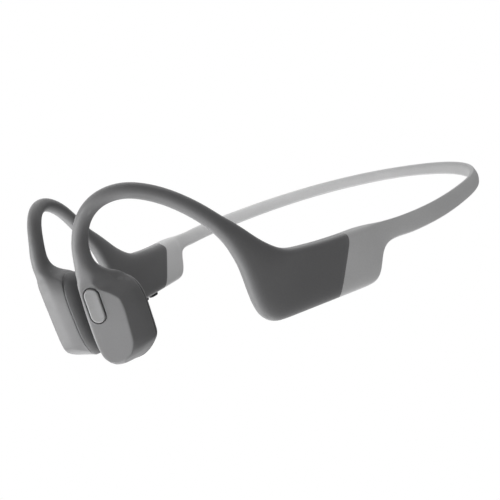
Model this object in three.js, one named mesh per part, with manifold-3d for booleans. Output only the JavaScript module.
// Wireless bone conduction headphones: a springy neckband that joins two flat pods,
// an ear hook from each pod and a transducer at the end of each hook.
// Millimetres, +Z up, the wearer faces -Y, +X is the wearer's left.
// Every side piece is shaped on the left; the right one is its mirror image in x.
import * as THREE from "three";
import { mergeVertices } from "three/addons/utils/BufferGeometryUtils.js";
import Module from "manifold-3d";

const wasm = await Module();
wasm.setup();
const { degToRad, lerp } = THREE.MathUtils;

// ---------- driving dimensions ----------
const POD_YAW = degToRad(20); // the pods open outwards towards the rear
const POD_ORIGIN = new THREE.Vector3(45.92, 0, 0); // foot of the colour boundary, outer face
const POD_MID = -3.3; // mid plane of a pod, measured from its outer face
const CLEARANCE = 0.3; // between neighbouring pieces

const BAND_HALF_WIDTH = 50.65; // neckband mid line, widest
const BOW_Y = 25.8; // where the rear bow of the neckband starts
const BOW_DEPTH = 52.9; // bow depth behind that
const BAND_TOP = 12.78; // top edge of the neckband
const BLADE_HEIGHT_SIDE = 4.75;
const BLADE_HEIGHT_REAR = 3.5;
const BOW_STEPS = 18; // stations from the pod to the centre plane
const FLEX_STATION = 9; // where an arm ends and the rear of the band begins
const FLEX_HALF_GAP = 0.15; // half of the clearance left there

const SHELL_YAW = degToRad(44.1); // the transducers' outer panels are turned forwards
const SHELL_PITCH = degToRad(-2.55);
const SHELL_LEAN = degToRad(1.79);
const SHELL_ORIGIN = new THREE.Vector3(15.28, -43.75, 12.85); // on the outer panel plane
const PARTING = -7.0; // parting plane of a transducer shell, from its outer panel
const CHEEK_FACE = -11.1; // cheek contact face

const BASE_Z = 1.0303; // lifts the lowest point of the headphones to z = 0
const BASE_Y = -16.6029; // puts their middle at y = 0

// Wire and cable inside the hook and the band: radius, bore around it, offset across the section.
const HOOK_WIRE = { radius: 0.4, bore: 0.62, offset: 0.72 };
const HOOK_CABLE = { radius: 0.3, bore: 0.5, offset: -0.72 };
const BAND_WIRE = { radius: 0.36, bore: 0.62, offset: 0.8 };
const BAND_CABLE = { radius: 0.26, bore: 0.5, offset: -0.75 };
const ROD_SIDES = 7;

const MATERIALS = {
  rubberDark: { color: 0x55565a, roughness: 0.62, metalness: 0 },
  rubberLight: { color: 0x9c9c9e, roughness: 0.66, metalness: 0 },
  blackPlastic: { color: 0x26272a, roughness: 0.55, metalness: 0 },
  steel: { color: 0xb9bcc0, roughness: 0.35, metalness: 1 },
  titanium: { color: 0x9a9691, roughness: 0.4, metalness: 1 },
  board: { color: 0x1f5a3a, roughness: 0.5, metalness: 0.1 },
  gold: { color: 0xd9b45a, roughness: 0.3, metalness: 1 },
  copper: { color: 0xb8703a, roughness: 0.4, metalness: 1 },
  magnet: { color: 0xa8abb0, roughness: 0.28, metalness: 1 },
  foil: { color: 0xc3c6c9, roughness: 0.4, metalness: 0.6 },
  pale: { color: 0xe6e6e2, roughness: 0.4, metalness: 0 },
  cable: { color: 0x3a3a3d, roughness: 0.6, metalness: 0 },
  panel: { color: 0x88898c, roughness: 0.55, metalness: 0 },
  cheek: { color: 0x3f4043, roughness: 0.7, metalness: 0 },
};

// ---------- frames ----------
// A function that turns coordinates along the given axes into a point.
const pointIn = (origin, axes) => (...coords) =>
  coords.reduce((point, value, i) => point.addScaledVector(axes[i], value), origin.clone());

// Pod frame: rearwards along the pod, outwards from its outer face, up.
const UP = new THREE.Vector3(0, 0, 1);
const POD_REARWARD = new THREE.Vector3(Math.sin(POD_YAW), Math.cos(POD_YAW), 0);
const POD_OUT = new THREE.Vector3(Math.cos(POD_YAW), -Math.sin(POD_YAW), 0);
const podPoint = pointIn(POD_ORIGIN, [POD_REARWARD, POD_OUT, UP]);

// Shell frame: forwards in the transducer's outer panel, upwards in it, outwards from it.
const SHELL_OUT = new THREE.Vector3(
  Math.cos(SHELL_YAW) * Math.cos(SHELL_PITCH),
  -Math.sin(SHELL_YAW) * Math.cos(SHELL_PITCH),
  Math.sin(SHELL_PITCH),
);
const levelForward = new THREE.Vector3(-Math.sin(SHELL_YAW), -Math.cos(SHELL_YAW), 0);
const panelUp = new THREE.Vector3().crossVectors(levelForward, SHELL_OUT).normalize();
const SHELL_FORWARD = levelForward.clone().multiplyScalar(Math.cos(SHELL_LEAN))
  .addScaledVector(panelUp, Math.sin(SHELL_LEAN));
const SHELL_UP = panelUp.clone().multiplyScalar(Math.cos(SHELL_LEAN))
  .addScaledVector(levelForward, -Math.sin(SHELL_LEAN));
const shellPoint = pointIn(SHELL_ORIGIN, [SHELL_FORWARD, SHELL_UP, SHELL_OUT]);

// ---------- solids ----------
// Only the sign is used: negative when the triangles face inwards.
function volumeSign(points, indices) {
  const normal = new THREE.Vector3();
  let sum = 0;
  for (let i = 0; i < indices.length; i += 3) {
    normal.crossVectors(points[indices[i + 1]], points[indices[i + 2]]);
    sum += points[indices[i]].dot(normal);
  }
  return Math.sign(sum);
}

function flipTriangles(indices) {
  for (let i = 0; i < indices.length; i += 3) {
    [indices[i + 1], indices[i + 2]] = [indices[i + 2], indices[i + 1]];
  }
}

function solidFromPoints(points, indices) {
  if (volumeSign(points, indices) < 0) flipTriangles(indices);
  const geometry = new THREE.BufferGeometry();
  const coords = points.flatMap((point) => point.toArray());
  geometry.setAttribute("position", new THREE.Float32BufferAttribute(coords, 3));
  geometry.setIndex(indices);
  const merged = mergeVertices(geometry, 1e-5);
  return new wasm.Manifold(
    new wasm.Mesh({
      numProp: 3,
      vertProperties: merged.attributes.position.array,
      triVerts: new Uint32Array(merged.index.array),
    }),
  );
}

// Skin over a row of closed rings with equal point counts, closed by a fan at each end.
function loft(rings) {
  const size = rings[0].length;
  const points = rings.flat();
  const indices = [];
  for (let k = 0; k + 1 < rings.length; k++) {
    for (let j = 0; j < size; j++) {
      const here = k * size + j;
      const next = k * size + ((j + 1) % size);
      indices.push(here, next, next + size, here, next + size, here + size);
    }
  }
  for (const k of [0, rings.length - 1]) {
    const centre = new THREE.Vector3();
    rings[k].forEach((point) => centre.add(point));
    const hub = points.push(centre.multiplyScalar(1 / size)) - 1;
    for (let j = 0; j < size; j++) {
      const here = k * size + j;
      const next = k * size + ((j + 1) % size);
      if (k === 0) indices.push(hub, next, here);
      else indices.push(hub, here, next);
    }
  }
  return solidFromPoints(points, indices);
}

const minus = (solid, ...cuts) => cuts.reduce((rest, cut) => rest.subtract(cut), solid);
const plus = (solid, ...others) => others.reduce((sum, other) => sum.add(other), solid);

// ---------- flat outlines ----------
function roundRect([aMin, aMax], [bMin, bMax], corner, steps = 3) {
  const centres = [
    [aMax - corner, bMax - corner], [aMin + corner, bMax - corner],
    [aMin + corner, bMin + corner], [aMax - corner, bMin + corner],
  ];
  return centres.flatMap(([a, b], quarter) =>
    Array.from({ length: steps + 1 }, (_, i) => {
      const angle = ((quarter + i / steps) * Math.PI) / 2;
      return [a + corner * Math.cos(angle), b + corner * Math.sin(angle)];
    }));
}

const circle = (a, b, radius, segments) =>
  Array.from({ length: segments }, (_, i) => {
    const angle = (2 * Math.PI * i) / segments;
    return [a + radius * Math.cos(angle), b + radius * Math.sin(angle)];
  });

// Two half circles, their centres halfLength above and below the middle.
function pill(a, b, halfLength, radius, steps = 8) {
  return [1, -1].flatMap((end) =>
    Array.from({ length: steps + 1 }, (_, i) => {
      const angle = (Math.PI * i) / steps;
      return [a + end * radius * Math.cos(angle), b + end * (halfLength + radius * Math.sin(angle))];
    }));
}

// ---------- blocks in the frames ----------
const placeOutline = (outline, level, place) => outline.map(([a, b]) => place(a, b, level));
const extrude = (outline, levels, place) =>
  loft(levels.map((level) => placeOutline(outline, level, place)));
const podSide = (rear, z, out) => podPoint(rear, out, z);

// Rounded block seen from the pod's side.
const podBlock = ({ rear, z, out, corner, steps }) =>
  extrude(roundRect(rear, z, corner, steps), out, podSide);
// Rounded block seen from above, centred on the pod's mid plane.
function uprightBlock({ rear, halfLength, halfWidth, z, corner, steps }) {
  const length = [rear - halfLength, rear + halfLength];
  const width = [POD_MID - halfWidth, POD_MID + halfWidth];
  return extrude(roundRect(length, width, corner, steps), z, podPoint);
}
// Vertical cylinder on the pod's mid plane.
const uprightPost = ({ rear, radius, z, segments }) =>
  extrude(circle(rear, POD_MID, radius, segments), z, podPoint);
// Rounded block seen facing the transducer's outer panel.
const shellBlock = ({ forward, up, out, corner, steps }) =>
  extrude(roundRect(forward, up, corner, steps), out, shellPoint);

// ---------- cross sections ----------
// A section is a list of [crest, outwards] offsets in a frame { centre, crest, out }.
// Its ten columns start near the crest (top or front) and go round over the outer side.
const COLUMN_DEGREES = [10, 45, 90, 135, 175, 205, 235, 270, 305, 335];
const POINTS_PER_COLUMN = 2;
const SECTION_ANGLES = COLUMN_DEGREES.flatMap((degrees, i) => {
  const next = COLUMN_DEGREES[i + 1] ?? COLUMN_DEGREES[0] + 360;
  return Array.from({ length: POINTS_PER_COLUMN }, (_, k) =>
    degToRad(degrees + ((next - degrees) * k) / POINTS_PER_COLUMN));
});

const signedPower = (value, power) => Math.sign(value) * Math.abs(value) ** power;

// Roundness 2 is an ellipse, higher values are squarer.
const ovalSection = (halfHeight, halfThickness, roundness) =>
  SECTION_ANGLES.map((angle) => [
    halfHeight * signedPower(Math.cos(angle), 2 / roundness),
    halfThickness * signedPower(Math.sin(angle), 2 / roundness),
  ]);

const catmullRom = (before, from, to, after, t) =>
  0.5 * (2 * from + (to - before) * t
    + (2 * before - 5 * from + 4 * to - after) * t * t
    + (3 * from - before - 3 * to + after) * t * t * t);

// Smooth closed curve through control points, POINTS_PER_COLUMN points per span.
function closedCurve(controls) {
  const count = controls.length;
  const curve = [];
  for (let i = 0; i < count; i++) {
    const [before, from, to, after] = [count - 1, 0, 1, 2].map((k) => controls[(i + k) % count]);
    for (let k = 0; k < POINTS_PER_COLUMN; k++) {
      const t = k / POINTS_PER_COLUMN;
      curve.push([0, 1].map((q) => catmullRom(before[q], from[q], to[q], after[q], t)));
    }
  }
  return curve;
}

// Blade of the neckband: narrow top edge, flat inside, bowed outside.
// Height as a share of the half height, outwards in mm.
const BLADE_PROFILE = [
  [1, 0], [0.9, 0.52], [0, 1.15], [-0.8, 0.98], [-1, 0.15],
  [-0.86, -0.72], [-0.45, -0.98], [0, -1.0], [0.55, -0.86], [0.92, -0.5],
];
const bladeSection = (height) =>
  closedCurve(BLADE_PROFILE.map(([share, out]) => [(share * height) / 2, out]));

const blendSections = (from, to, share) =>
  from.map((point, i) => point.map((value, q) => value + (to[i][q] - value) * share));

const rodSection = (radius, offset) => circle(offset, 0, radius, ROD_SIDES);
const coreSection = ({ radius, offset }) => rodSection(radius, offset);
const boreSection = ({ bore, offset }) => rodSection(bore, offset);

const placeSection = (section, { centre, crest, out }) =>
  section.map(([a, b]) => centre.clone().addScaledVector(crest, a).addScaledVector(out, b));

// Ring of a pod between a top and a bottom point at the given mid plane.
function podRing([topRear, topZ, bottomRear, bottomZ], mid, sectionFor) {
  const top = podPoint(topRear, mid, topZ);
  const bottom = podPoint(bottomRear, mid, bottomZ);
  const crest = top.clone().sub(bottom);
  const section = sectionFor(crest.length());
  const centre = top.add(bottom).multiplyScalar(0.5);
  return placeSection(section, { centre, crest: crest.normalize(), out: POD_OUT });
}

// ---------- ear hook: pod front, hook and transducer shell in one skin ----------
// top rear, top z, bottom rear, bottom z, mid plane, half thickness, roundness
const POD_FRONT = [
  [6.3, 13.9, -0.72, 0.02, -3.3, 3.3, 4.0],
  [2.74, 13.95, -3.86, 0.02, -3.3, 3.3, 4.0],
  [-1.16, 14.15, -7.86, 0.02, -3.3, 3.3, 4.0],
  [-4.66, 14.5, -11.66, 0.02, -3.3, 3.3, 4.0],
  [-7.16, 14.8, -14.46, 0.04, -3.3, 3.27, 3.9],
  [-8.96, 15.2, -17.05, 0.32, -3.3, 3.2, 3.7],
  [-10.36, 15.9, -19.05, 1.95, -3.3, 3.08, 3.4],
  [-11.66, 16.9, -19.95, 4.8, -3.27, 2.92, 3.1],
  [-12.96, 18.1, -20.3, 8.1, -3.24, 2.74, 2.8],
  [-14.36, 19.6, -20.45, 11.72, -3.2, 2.55, 2.55],
  [-15.76, 21.35, -20.7, 15.2, -3.14, 2.38, 2.4],
  [-17.36, 23.4, -21.36, 18.22, -3.08, 2.24, 2.25],
  [-19.26, 25.6, -22.26, 21.22, -3.0, 2.12, 2.12],
];
// x, y, z, radius
const HOOK_PATH = [
  [32.04, -24.24, 32.02, 1.9],
  [27.72, -28.56, 36.47, 1.86],
  [23.58, -33.28, 39.0, 1.83],
  [19.35, -37.56, 38.63, 1.8],
  [15.84, -40.69, 35.75, 1.8],
  [13.89, -42.67, 30.94, 1.88],
];
// Transducer shell: height, then ten [forwards, outwards] points, one per section column.
const SHELL_SECTIONS = [
  [11.9, [[3.7, -1.6], [3.1, -0.1], [1.4, 0.35], [-0.3, -0.1], [-1.3, -1.7],
    [-1.25, -2.9], [-0.5, -3.75], [0.9, -4.05], [2.35, -3.75], [3.3, -3.05]]],
  [10.9, [[3.95, -1.8], [3.2, -0.2], [1.3, 0.3], [-0.6, -0.15], [-1.85, -1.9],
    [-1.8, -3.35], [-1.0, -4.1], [0.75, -4.4], [2.55, -4.05], [3.6, -3.2]]],
  [9.9, [[4.2, -2.3], [3.3, -0.25], [1.2, 0.2], [-0.7, -0.3], [-2.3, -2.2],
    [-2.7, -4.0], [-1.75, -4.7], [0.45, -5.0], [2.65, -4.7], [3.85, -3.9]]],
  [9.1, [[4.45, -2.8], [3.45, -0.2], [1.1, 0.1], [-0.5, -0.35], [-2.9, -2.6],
    [-3.65, -4.9], [-2.35, -5.5], [0.3, -5.75], [2.6, -5.4], [4.0, -4.7]]],
  [8.2, [[4.75, -3.1], [3.7, -0.1], [1.0, 0.02], [-0.1, -0.25], [-3.5, -3.1],
    [-4.7, -6.1], [-3.0, -6.75], [0.0, -6.95], [2.4, -6.7], [4.2, -5.9]]],
  [7.0, [[5.0, -3.3], [3.85, 0], [1.7, 0], [-0.44, -0.05], [-4.3, -3.4],
    [-5.6, -6.9], [-3.7, -7], [-0.3, -7], [2.4, -7], [4.6, -7]]],
  [5.0, [[5.25, -3.4], [3.95, 0], [0.45, 0], [-3.05, 0], [-5.9, -3.5],
    [-7.05, -7], [-4.6, -7], [-0.8, -7], [2.8, -7], [5.45, -7]]],
  [3.0, [[5.45, -3.4], [4.0, 0], [-0.4, 0], [-4.8, 0], [-6.9, -3.5],
    [-7.85, -7], [-5.0, -7], [-1.0, -7], [3.0, -7], [5.9, -7]]],
  [0.0, [[5.6, -3.4], [4.0, 0], [-0.5, 0], [-5.05, 0], [-7.15, -3.5],
    [-8.25, -7], [-5.2, -7], [-1.1, -7], [3.0, -7], [6.25, -7]]],
  [-4.0, [[5.65, -3.4], [4.0, 0], [-0.4, 0], [-4.82, 0], [-6.95, -3.5],
    [-8.25, -7], [-5.2, -7], [-1.1, -7], [3.0, -7], [6.3, -7]]],
  [-7.0, [[5.55, -3.4], [3.95, 0], [-0.35, 0], [-4.65, 0], [-6.65, -3.5],
    [-8.2, -7], [-5.0, -7], [-1.0, -7], [3.0, -7], [6.15, -7]]],
  [-9.5, [[5.1, -3.4], [3.6, 0], [-0.05, 0], [-3.7, 0], [-6.12, -3.5],
    [-7.95, -7], [-4.62, -7], [-0.9, -7], [2.7, -7], [5.7, -7]]],
  [-11.2, [[4.1, -3.5], [2.5, 0], [0.3, 0], [-2.0, 0], [-4.69, -3.5],
    [-6.65, -7], [-3.88, -7], [-0.7, -7], [2.2, -7], [4.95, -7]]],
  [-12.0, [[3.4, -3.7], [1.6, -0.3], [0.45, -0.25], [-0.8, -0.3], [-3.62, -3.7],
    [-5.85, -7], [-3.3, -7], [-0.5, -7], [2.0, -7], [4.5, -7]]],
  [-12.7, [[2.6, -4.3], [1.3, -1.6], [0.4, -1.45], [-0.5, -1.6], [-2.85, -4.3],
    [-4.95, -7], [-2.73, -7], [-0.3, -7], [1.8, -7], [4.0, -7]]],
  [-13.3, [[2.0, -5.2], [1.1, -3.5], [0.4, -3.3], [-0.3, -3.5], [-2.02, -5.2],
    [-3.7, -7], [-2.0, -7], [-0.1, -7], [1.5, -7], [3.3, -7]]],
  [-13.9, [[1.5, -6.2], [0.9, -5.4], [0.5, -5.2], [0.0, -5.4], [-0.98, -6.2],
    [-1.9, -7], [-1.0, -7], [0.2, -7], [1.1, -7], [2.2, -7]]],
  [-14.2, [[1.1, -6.75], [0.8, -6.6], [0.6, -6.5], [0.4, -6.6], [0.0, -6.75],
    [-0.4, -7], [-0.1, -7], [0.5, -7], [1.0, -7], [1.5, -7]]],
];

const HOOK_KNOTS = [
  { point: podPoint(-22.91, -2.95, 26.635), radius: 2.0 },
  ...HOOK_PATH.map(([x, y, z, radius]) => ({ point: new THREE.Vector3(x, y, z), radius })),
  { point: shellPoint(1.25, 13.3, -1.8), radius: 2.2 },
];
const HOOK_SPANS = HOOK_KNOTS.length - 1;
// One more point at each end only steers the curve's direction.
const HOOK_CURVE = new THREE.CatmullRomCurve3(
  [podPoint(-20.9, -3.0, 23.2), ...HOOK_KNOTS.map((knot) => knot.point), shellPoint(1.4, 8.5, -2.8)],
  false,
  "centripetal",
);

// Frame and radius at a place along the hook, t from 0 (pod) to 1 (transducer).
function hookFrame(t) {
  const curveT = (1 + t * HOOK_SPANS) / (HOOK_SPANS + 2);
  const tangent = HOOK_CURVE.getTangent(curveT);
  const span = Math.min(HOOK_SPANS - 1, Math.floor(t * HOOK_SPANS));
  const out = POD_OUT.clone().lerp(SHELL_OUT, t);
  out.addScaledVector(tangent, -out.dot(tangent)).normalize();
  return {
    centre: HOOK_CURVE.getPoint(curveT),
    crest: new THREE.Vector3().crossVectors(tangent, out).normalize(),
    out,
    radius: lerp(HOOK_KNOTS[span].radius, HOOK_KNOTS[span + 1].radius, t * HOOK_SPANS - span),
  };
}
const HOOK_STEPS = 12;
const HOOK_FRAMES = Array.from({ length: HOOK_STEPS + 1 }, (_, k) => hookFrame(k / HOOK_STEPS));

function earHookBody() {
  const podRings = POD_FRONT.map(([...row]) => {
    const [mid, halfThickness, roundness] = row.slice(4);
    return podRing(row, mid, (height) => ovalSection(height / 2, halfThickness, roundness));
  });
  const hookRings = HOOK_FRAMES.map((frame) =>
    placeSection(ovalSection(frame.radius, frame.radius, 2), frame));
  const shellRings = SHELL_SECTIONS.map(([up, controls]) =>
    closedCurve(controls).map(([forward, out]) => shellPoint(forward, up, out)));
  return loft([...podRings, ...hookRings, ...shellRings]);
}

// Frames that lead wire and cable from the pod cavity into the hook, and on into the shell.
const LEAD_CREST = new THREE.Vector3().addScaledVector(POD_REARWARD, 0.63).addScaledVector(UP, 0.776);
const podLead = (rear, z) =>
  ({ centre: podPoint(rear, -3.2, z), crest: LEAD_CREST, out: POD_OUT });
const shellLead = (forward, up, out) =>
  ({ centre: shellPoint(forward, up, out), crest: SHELL_FORWARD, out: SHELL_OUT });
const LAST_POD_LEAD = podLead(-19.0, 19.6);
const FIRST_SHELL_LEAD = shellLead(1.4, 10.2, -2.5);
const BORE_FRAMES = [
  podLead(-14.6, 11.6), podLead(-16.8, 15.2), LAST_POD_LEAD,
  ...HOOK_FRAMES,
  FIRST_SHELL_LEAD, shellLead(1.6, 6.9, -3.3),
];
const CORE_FRAMES = [
  podLead(-16.0, 13.9), LAST_POD_LEAD,
  ...HOOK_FRAMES,
  FIRST_SHELL_LEAD, shellLead(1.55, 7.5, -3.15),
];
const rodAlong = (frames, section) => loft(frames.map((frame) => placeSection(section, frame)));
const hookBore = (core) => rodAlong(BORE_FRAMES, boreSection(core));
const hookCore = (core) => rodAlong(CORE_FRAMES, coreSection(core));

// ---------- neckband: rear of the pods and the bow ----------
// top rear, top z, bottom rear, bottom z, half thickness, share of blade section
const POD_REAR = [
  [6.65, 13.9, -0.37, 0.02, 3.3, 0],
  [8.14, 13.87, 2.74, 0.02, 3.3, 0],
  [9.24, 13.82, 5.34, 0.02, 3.26, 0],
  [10.24, 13.75, 7.54, 0.02, 3.14, 0.03],
  [11.14, 13.68, 9.44, 0.17, 2.95, 0.08],
  [11.94, 13.6, 10.74, 0.92, 2.72, 0.15],
  [12.64, 13.52, 11.64, 2.12, 2.5, 0.24],
  [13.44, 13.4, 12.64, 4.22, 2.2, 0.38],
  [14.44, 13.27, 13.74, 6.32, 1.88, 0.58],
  [15.74, 13.11, 15.24, 7.75, 1.55, 0.8],
  [17.54, 12.96, 17.24, 8.2, 1.3, 1],
  [19.54, 12.83, 19.44, 8.22, 1.15, 1],
];
const BOW_START = 21.5; // place along the pod where the bow begins
const MID_SHIFT_START = 14; // from here to the bow the mid plane moves inwards
const MID_SHIFT = 0.12;
function bandMid(rear) {
  if (rear < MID_SHIFT_START) return POD_MID;
  return POD_MID - MID_SHIFT * ((rear - MID_SHIFT_START) / (BOW_START - MID_SHIFT_START)) ** 2;
}

function podRearRing(row) {
  const [topRear, , bottomRear, , halfThickness, bladeShare] = row;
  return podRing(row, bandMid((topRear + bottomRear) / 2), (height) =>
    blendSections(ovalSection(height / 2, halfThickness, 4), bladeSection(height), bladeShare));
}

// The bow's curve in plan, a squarish ellipse: angle 0 is the side, a quarter turn the rear.
const BOW_POWER_X = 2.2;
const BOW_POWER_Y = 2.36;
const bowPoint = (angle) =>
  new THREE.Vector2(
    BAND_HALF_WIDTH * Math.cos(angle) ** (2 / BOW_POWER_X),
    BOW_Y + BOW_DEPTH * Math.sin(angle) ** (2 / BOW_POWER_Y),
  );

// The band leaves the pod along the pod's own direction and eases into the bow by this angle.
const EASE_ANGLE = 0.34;
const EASE_SAMPLES = 80;
const BOW_SAMPLES = 320;
function bowSamples() {
  const podStart = podPoint(BOW_START, bandMid(BOW_START), 0);
  const start = new THREE.Vector2(podStart.x, podStart.y);
  const end = bowPoint(EASE_ANGLE);
  const startDirection = new THREE.Vector2(POD_REARWARD.x, POD_REARWARD.y);
  const endDirection = bowPoint(EASE_ANGLE + 0.01).sub(end).normalize();
  const distance = start.distanceTo(end);
  const samples = [];
  for (let i = 0; i < EASE_SAMPLES; i++) {
    const t = i / EASE_SAMPLES;
    const t2 = t * t;
    const t3 = t2 * t;
    samples.push(
      new THREE.Vector2()
        .addScaledVector(start, 2 * t3 - 3 * t2 + 1)
        .addScaledVector(startDirection, distance * (t3 - 2 * t2 + t))
        .addScaledVector(end, -2 * t3 + 3 * t2)
        .addScaledVector(endDirection, distance * (t3 - t2)),
    );
  }
  for (let i = 0; i <= BOW_SAMPLES; i++) {
    samples.push(bowPoint(EASE_ANGLE + ((Math.PI / 2 - EASE_ANGLE) * i) / BOW_SAMPLES));
  }
  return samples;
}

// Stations at equal steps along the bow, from behind the pod to the centre plane.
function bowStations() {
  const samples = bowSamples();
  const lengths = [0];
  for (let i = 1; i < samples.length; i++) {
    lengths.push(lengths[i - 1] + samples[i].distanceTo(samples[i - 1]));
  }
  return Array.from({ length: BOW_STEPS + 1 }, (_, k) => {
    const target = (lengths.at(-1) * k) / BOW_STEPS;
    const i = Math.max(1, lengths.findIndex((length) => length >= target - 1e-9));
    const share = (target - lengths[i - 1]) / (lengths[i] - lengths[i - 1]);
    return samples[i - 1].clone().lerp(samples[i], share);
  });
}
const BOW = bowStations();

// Section frame and blade height at a station, shifted along the bow towards the centre plane.
function bowFrame(station, shift = 0) {
  const before = BOW[Math.max(0, station - 1)];
  const after = BOW[Math.min(BOW_STEPS, station + 1)];
  const along = after.clone().sub(before).normalize();
  if (station === BOW_STEPS) along.set(-1, 0);
  if (station === 0) along.set(POD_REARWARD.x, POD_REARWARD.y);
  const height = lerp(BLADE_HEIGHT_SIDE, BLADE_HEIGHT_REAR, station / BOW_STEPS);
  const { x, y } = BOW[station].clone().addScaledVector(along, shift);
  const centre = new THREE.Vector3(x, y, BAND_TOP - height / 2);
  return { centre, crest: UP, out: new THREE.Vector3(along.y, -along.x, 0), height };
}

// Frames of an arm's share of the bow.
function armFrames(endShift = -FLEX_HALF_GAP) {
  const frames = Array.from({ length: FLEX_STATION }, (_, k) => bowFrame(k));
  return [...frames, bowFrame(FLEX_STATION, endShift)];
}

// Loft across the whole rear, from side to side.
function rearLoft(ringAt, startShift = FLEX_HALF_GAP) {
  const half = [ringAt(bowFrame(FLEX_STATION, startShift))];
  for (let k = FLEX_STATION + 1; k < BOW_STEPS; k++) half.push(ringAt(bowFrame(k)));
  const mirrorRing = (ring) => ring.map(({ x, y, z }) => new THREE.Vector3(-x, y, z));
  return loft([...half, ringAt(bowFrame(BOW_STEPS)), ...half.map(mirrorRing).reverse()]);
}

const bladeRing = (frame) => placeSection(bladeSection(frame.height), frame);

// Wire and cable run level through the band; their bores run past its cut ends.
const CORE_Z = BAND_TOP - BLADE_HEIGHT_SIDE / 2 + 0.1;
const BORE_OVERRUN = 0.4;
const BORE_START = 10.5; // along the pod
const CORE_START = 11.9;
const POD_ROD_STATIONS = [14, 17, 19.3];
const rodRing = (section) => ({ centre, out }) =>
  placeSection(section, { centre: centre.clone().setZ(CORE_Z), crest: UP, out });

function armRod(section, start, endShift) {
  const podFrames = [start, ...POD_ROD_STATIONS].map((rear) => (
    { centre: podPoint(rear, bandMid(rear), 0), out: POD_OUT }
  ));
  return loft([...podFrames, ...armFrames(endShift)].map(rodRing(section)));
}
const armBore = (core) => armRod(boreSection(core), BORE_START, BORE_OVERRUN);
const armCore = (core) => armRod(coreSection(core), CORE_START);
const rearBore = (core) => rearLoft(rodRing(boreSection(core)), -BORE_OVERRUN);
const rearCore = (core) => rearLoft(rodRing(coreSection(core)));

// ---------- cavities ----------
// Pod cavities: rear, z
const FRONT_CAVITY = [
  [8, 1.2], [8, 12.4], [-8.5, 12.5], [-14.2, 12.8], [-16.6, 10.5],
  [-17.4, 7.4], [-17.2, 4.2], [-16.6, 2.4], [-15.9, 1.2],
];
const REAR_CAVITY = [
  [-2, 1.2], [7.8, 1.2], [9.2, 2.6], [10.6, 6.2], [11.6, 9.4], [11.6, 12.3], [-2, 12.3],
];
const POD_CAVITY_OUT = [-5.25, -1.35];

// Outline of the transducer at its parting plane: forwards, upwards
const PART_OUTLINE = [
  [0.3, 8.45], [-1.7, 8.05], [-3.9, 7.2], [-5.6, 6.35], [-6.9, 4.9], [-7.8, 3.0], [-8.15, 1],
  [-8.27, -1.5], [-8.25, -4], [-8.2, -7], [-7.95, -9.5], [-6.65, -11.3], [-5.0, -12.75],
  [-2.9, -13.8], [0.1, -14.2], [2.3, -13.9], [3.9, -12.8], [4.9, -11.3], [5.7, -9.5],
  [6.15, -7], [6.3, -4], [6.25, 0], [5.9, 3], [5.3, 4.9], [4.2, 6.85], [2.3, 8.1],
];
// Outermost end of the shell cavity, point for point with the outline above
const CAVITY_ROOF = [
  [0.3, 5.2], [-1.2, 4.7], [-2.2, 4.0], [-3.0, 3.0], [-3.5, 2.0], [-3.7, 1.0], [-3.75, 0],
  [-3.75, -1.5], [-3.7, -4], [-3.55, -6.6], [-3.0, -8.2], [-2.3, -9.3], [-1.5, -9.9],
  [-0.8, -10.2], [0.2, -10.4], [1.0, -10.2], [1.7, -9.8], [2.2, -9.2], [2.6, -8.0],
  [2.75, -6.5], [2.8, -4], [2.8, 0], [2.8, 2.6], [2.7, 4.0], [2.2, 4.8], [1.4, 5.2],
];
const ROOF_OUT = -1.35;
const OUTLINE_MIDDLE = [-1.1, -2.2];

// Moves every point of an outline towards the middle by a distance.
function inset(outline, distance) {
  const [middleForward, middleUp] = OUTLINE_MIDDLE;
  return outline.map(([forward, up]) => {
    const share = distance / Math.hypot(forward - middleForward, up - middleUp);
    return [forward - (forward - middleForward) * share, up - (up - middleUp) * share];
  });
}

const insetRing = ([out, distance]) =>
  placeOutline(inset(PART_OUTLINE, distance), out, shellPoint);
const shellCavity = () =>
  loft([
    insetRing([PARTING - 0.6, 1.5]),
    insetRing([PARTING + 0.4, 1.55]),
    placeOutline(CAVITY_ROOF, ROOF_OUT, shellPoint),
  ]);

// ---------- controls ----------
// Multifunction key on the left transducer's panel.
const BUTTON = { forward: 1.48, up: 2.9, halfLength: 2.42, radius: 1.75 };
const BUTTON_GAP = 0.28;
const BUTTON_CHAMFER = 0.25;
const buttonOutline = (growth) =>
  pill(BUTTON.forward, BUTTON.up, BUTTON.halfLength, BUTTON.radius + growth);

// Along the underside of the right pod.
const VOLUME_UP_REAR = -4.45;
const VOLUME_DOWN_REAR = -9.05;
const VOLUME_KEY = { halfLength: 1.75, halfWidth: 1, corner: 0.95 };
const CHARGING_REAR = -13.4;
const CHARGING_BLOCK = { rear: CHARGING_REAR, halfLength: 1.5, halfWidth: 1.1 };
const PIN_PITCH = 1.5;
const FRONT_PIN_REAR = CHARGING_REAR - PIN_PITCH / 2;
const REAR_PIN_REAR = CHARGING_REAR + PIN_PITCH / 2;
const STATUS_LIGHT_REAR = -1.3;
const UNDERSIDE_CUT = [-2, 2.5]; // z
const MICROPHONE_HOLE = { radius: 0.35, segments: 10 };

function undersideSlot({ rear, halfLength, halfWidth, corner }) {
  return uprightBlock({
    rear,
    halfLength: halfLength + CLEARANCE,
    halfWidth: halfWidth + CLEARANCE,
    z: UNDERSIDE_CUT,
    corner,
  });
}

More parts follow.
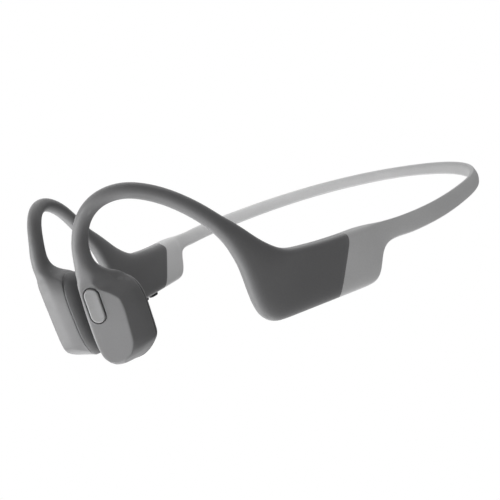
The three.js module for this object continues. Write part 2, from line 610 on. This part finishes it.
// Slots for volume keys and charging block, hole for the status light, two microphone holes.
function rightOpenings() {
  const { radius, segments } = MICROPHONE_HOLE;
  const slotCorner = VOLUME_KEY.corner + CLEARANCE;
  return [
    ...[VOLUME_UP_REAR, VOLUME_DOWN_REAR].map((rear) =>
      undersideSlot({ ...VOLUME_KEY, rear, corner: slotCorner })),
    undersideSlot({ ...CHARGING_BLOCK, corner: 0.6 }),
    uprightPost({ rear: STATUS_LIGHT_REAR, radius: 0.5, z: UNDERSIDE_CUT, segments: 12 }),
    extrude(circle(POD_MID, 8, radius, segments), [-24, -16], (out, z, rear) =>
      podPoint(rear, out, z)),
    extrude(circle(-14.6, 10.4, radius, segments), [-2, 1], podSide),
  ];
}
const leftOpenings = () => [extrude(buttonOutline(BUTTON_GAP), [-3, 2], shellPoint)];

// ---------- skins ----------
const earHookSkin = (openings) =>
  minus(
    earHookBody(),
    extrude(FRONT_CAVITY, POD_CAVITY_OUT, podSide),
    shellCavity(),
    hookBore(HOOK_WIRE),
    hookBore(HOOK_CABLE),
    ...openings,
  );

const neckbandArmSkin = () =>
  minus(
    loft([...POD_REAR.map(podRearRing), ...armFrames().map(bladeRing)]),
    extrude(REAR_CAVITY, POD_CAVITY_OUT, podSide),
    armBore(BAND_WIRE),
    armBore(BAND_CABLE),
  );

const neckbandRearSkin = () =>
  minus(rearLoft(bladeRing), rearBore(BAND_WIRE), rearBore(BAND_CABLE));

// ---------- transducer ----------
const MOTOR = { forward: -0.5, up: -4.3, magnetRadius: 1.35 };
const disc = (radius, out, segments = 16) =>
  extrude(circle(MOTOR.forward, MOTOR.up, radius, segments), out, shellPoint);
// Plate in the shape of the parting outline, with every other point of it.
const plate = (distance, out) =>
  extrude(inset(PART_OUTLINE.filter((_, i) => i % 2 === 0), distance), out, shellPoint);

// Levels are outwards position, inset.
function cheekCover() {
  const outside = [
    [PARTING - CLEARANCE, 0.05], [-8.4, 0.15], [-9.7, 0.85], [-10.7, 2.0], [CHEEK_FACE, 3.1],
  ];
  const inside = [[-6.5, 1.5], [-8.8, 1.6], [-10.1, 3.0]];
  return minus(loft(outside.map(insetRing)), loft(inside.map(insetRing)));
}

const yokeCup = () => minus(disc(3.0, [-2.3, -5.2]), disc(2.5, [-2.9, -6]));
const magnet = () => disc(MOTOR.magnetRadius, [-3.2, -4.6], 20);
const polePlate = () => disc(MOTOR.magnetRadius, [-4.9, -5.5], 20);
const voiceCoil = () => minus(disc(2.2, [-3.3, -5.9]), disc(1.65, [-3, -7]));

function springPlate() {
  const cut = [-7, -6];
  const slot = { up: [-7.5, -0.8], out: cut, steps: 2 };
  return minus(
    plate(2.5, [-6.6, -6.25]),
    shellBlock({ ...slot, forward: [-4.8, -3.8], corner: 0.45 }),
    shellBlock({ ...slot, forward: [1.9, 2.8], corner: 0.4 }),
    disc(0.9, cut, 12),
  );
}

const driverBracket = () =>
  minus(plate(2.1, [-8.3, -6.95]), plate(3.3, [-7.7, -6.5]), disc(2.2, [-9, -6]));
const cheekPadCore = () =>
  shellBlock({ forward: [-4.6, 2.4], up: [-8.6, 1.4], out: [-9.8, -8.6], corner: 2 });

// ---------- left side only ----------
const multifunctionButton = () =>
  loft([
    placeOutline(buttonOutline(0), -1.5, shellPoint),
    placeOutline(buttonOutline(0), 0.12, shellPoint),
    placeOutline(buttonOutline(-BUTTON_CHAMFER), 0.32, shellPoint),
  ]);
const buttonSwitch = () =>
  plus(
    shellBlock({ forward: [0.2, 2.4], up: [1.2, 3.2], out: [-3.1, -2.4], corner: 0.2, steps: 2 }),
    extrude(circle(1.3, 2.2, 0.6, 12), [-2.6, -2.05], shellPoint),
  );
const buttonBoard = () =>
  shellBlock({ forward: [-1.6, 2.6], up: [0.4, 4.2], out: [-3.9, -3.4], corner: 0.4, steps: 2 });

const battery = () =>
  podBlock({ rear: [-12.6, 1.6], z: [2.6, 11.0], out: [-4.8, -2.5], corner: 0.8 });
const BOARD_OUT = [-3.2, -2.5];
const batteryBoard = () =>
  plus(
    podBlock({ rear: [2.1, 5.2], z: [2.7, 10.9], out: BOARD_OUT, corner: 0.2, steps: 1 }),
    podBlock({ rear: [2.7, 4.6], z: [5, 8.6], out: [-4.0, -3.1], corner: 0.1, steps: 1 }),
  );
const ANTENNA_OUTLINE = [[-15.9, 4.0], [-14.2, 4.0], [-14.2, 10.4], [-15.9, 9.6]]; // rear, z
const antenna = () => extrude(ANTENNA_OUTLINE, [-3.5, -3.1], podSide);

// Tray that holds the parts of a pod, open towards the head.
function podFrame(bottom) {
  const [wall, top, front, rear] = [0.6, 12.0, -13.6, 6.2];
  return minus(
    podBlock({ rear: [front, rear], z: [bottom, top], out: [-4.95, -1.65], corner: 1 }),
    podBlock({
      rear: [front + wall, rear - wall],
      z: [bottom + wall, top - wall],
      out: [-5.3, -2.15],
      corner: 0.6,
    }),
  );
}

// ---------- right side only ----------
const mainBoard = () =>
  plus(
    podBlock({ rear: [-12.7, 5.3], z: [5.4, 11.1], out: BOARD_OUT, corner: 0.2, steps: 1 }),
    podBlock({ rear: [-2.6, 0.4], z: [6.4, 9.6], out: [-3.9, -3.1], corner: 0.1, steps: 1 }),
    podBlock({ rear: [2.0, 4.4], z: [6.0, 8.0], out: [-3.7, -3.1], corner: 0.1, steps: 1 }),
  );
// Small component with barely rounded corners.
const chip = (rear, z, out) => podBlock({ rear, z, out, corner: 0.2, steps: 1 });

// The key stands proud of the pod's underside; a flange inside holds it.
const volumeKey = (rear) =>
  plus(
    uprightBlock({ ...VOLUME_KEY, rear, z: [-0.95, 1.7] }),
    uprightBlock({ rear, halfLength: 1.9, halfWidth: 1.6, z: [1.5, 2.05], corner: 1.2 }),
  );
const keySwitch = (rear) =>
  plus(
    uprightBlock({ rear, halfLength: 1.5, halfWidth: 1.1, z: [2.9, 3.9], corner: 0.2, steps: 1 }),
    uprightPost({ rear, radius: 0.5, z: [2.5, 3.0], segments: 12 }),
  );

const chargingBlock = () =>
  minus(
    uprightBlock({ ...CHARGING_BLOCK, z: [0.15, 3.2], corner: 0.4 }),
    ...[FRONT_PIN_REAR, REAR_PIN_REAR].map((rear) =>
      uprightPost({ rear, radius: 0.62, z: [-1, 4], segments: 16 })),
  );
const chargingPin = (rear) => uprightPost({ rear, radius: 0.38, z: [0, 2.9], segments: 14 });
const statusLight = () =>
  uprightPost({ rear: STATUS_LIGHT_REAR, radius: 0.27, z: [0.05, 3.6], segments: 12 });

// ---------- assembly ----------
const root = new THREE.Group();
root.name = "bone_conduction_headphones";

function addPiece(name, solid, look, mirrored = false) {
  const { vertProperties, triVerts } = solid.getMesh();
  const positions = new Float32Array(vertProperties.length);
  for (let i = 0; i < positions.length; i += 3) {
    positions[i] = (mirrored ? -1 : 1) * vertProperties[i];
    positions[i + 1] = vertProperties[i + 1] + BASE_Y;
    positions[i + 2] = vertProperties[i + 2] + BASE_Z;
  }
  const indices = Array.from(triVerts);
  if (mirrored) flipTriangles(indices);
  const geometry = new THREE.BufferGeometry();
  geometry.setAttribute("position", new THREE.BufferAttribute(positions, 3));
  geometry.setIndex(indices);
  const flat = geometry.toNonIndexed();
  flat.computeVertexNormals();
  const mesh = new THREE.Mesh(flat, new THREE.MeshStandardMaterial(look));
  mesh.name = name;
  root.add(mesh);
}

const {
  rubberDark, rubberLight, blackPlastic, steel, titanium, board, gold, copper, foil,
} = MATERIALS;

for (const side of ["left", "right"]) {
  const right = side === "right";
  const put = (name, solid, look) => addPiece(`${name}_${side}`, solid, look, right);
  put("ear_hook_skin", earHookSkin(right ? rightOpenings() : leftOpenings()), rubberDark);
  put("hook_wire", hookCore(HOOK_WIRE), titanium);
  put("hook_cable", hookCore(HOOK_CABLE), MATERIALS.cable);
  put("cheek_cover", cheekCover(), MATERIALS.cheek);
  put("yoke_cup", yokeCup(), steel);
  put("magnet", magnet(), MATERIALS.magnet);
  put("pole_plate", polePlate(), steel);
  put("voice_coil", voiceCoil(), copper);
  put("spring_plate", springPlate(), steel);
  put("driver_bracket", driverBracket(), blackPlastic);
  put("cheek_pad_core", cheekPadCore(), blackPlastic);
  put("neckband_skin", neckbandArmSkin(), rubberLight);
  put("neckband_wire", armCore(BAND_WIRE), titanium);
  put("neckband_cable", armCore(BAND_CABLE), MATERIALS.cable);
}

addPiece("neckband_skin_rear", neckbandRearSkin(), rubberLight);
addPiece("neckband_wire_rear", rearCore(BAND_WIRE), titanium);
addPiece("neckband_cable_rear", rearCore(BAND_CABLE), MATERIALS.cable);

addPiece("multifunction_button", multifunctionButton(), MATERIALS.panel);
addPiece("button_switch", buttonSwitch(), foil);
addPiece("button_board", buttonBoard(), board);
addPiece("pod_frame_left", podFrame(1.6), blackPlastic);
addPiece("battery", battery(), foil);
addPiece("battery_board", batteryBoard(), board);
addPiece("antenna", antenna(), copper);

const addRight = (name, solid, look) => addPiece(name, solid, look, true);
addRight("pod_frame_right", podFrame(4.5), blackPlastic);
addRight("main_board", mainBoard(), board);
addRight("radio_processor", chip([-10.4, -5.4], [5.9, 10.6], [-4.5, -3.5]), blackPlastic);
addRight("volume_up_button", volumeKey(VOLUME_UP_REAR), blackPlastic);
addRight("volume_down_button", volumeKey(VOLUME_DOWN_REAR), blackPlastic);
addRight("volume_up_switch", keySwitch(VOLUME_UP_REAR), foil);
addRight("volume_down_switch", keySwitch(VOLUME_DOWN_REAR), foil);
addRight("charging_block", chargingBlock(), blackPlastic);
addRight("charging_pin_front", chargingPin(FRONT_PIN_REAR), gold);
addRight("charging_pin_rear", chargingPin(REAR_PIN_REAR), gold);
addRight("status_light", statusLight(), MATERIALS.pale);
addRight("microphone_front", chip([-16.6, -14.1], [6.8, 9.2], [-4.2, -3.2]), gold);
addRight("microphone_outer", chip([-15.4, -13.9], [9.6, 11.2], [-2.3, -1.7]), gold);

export default root;
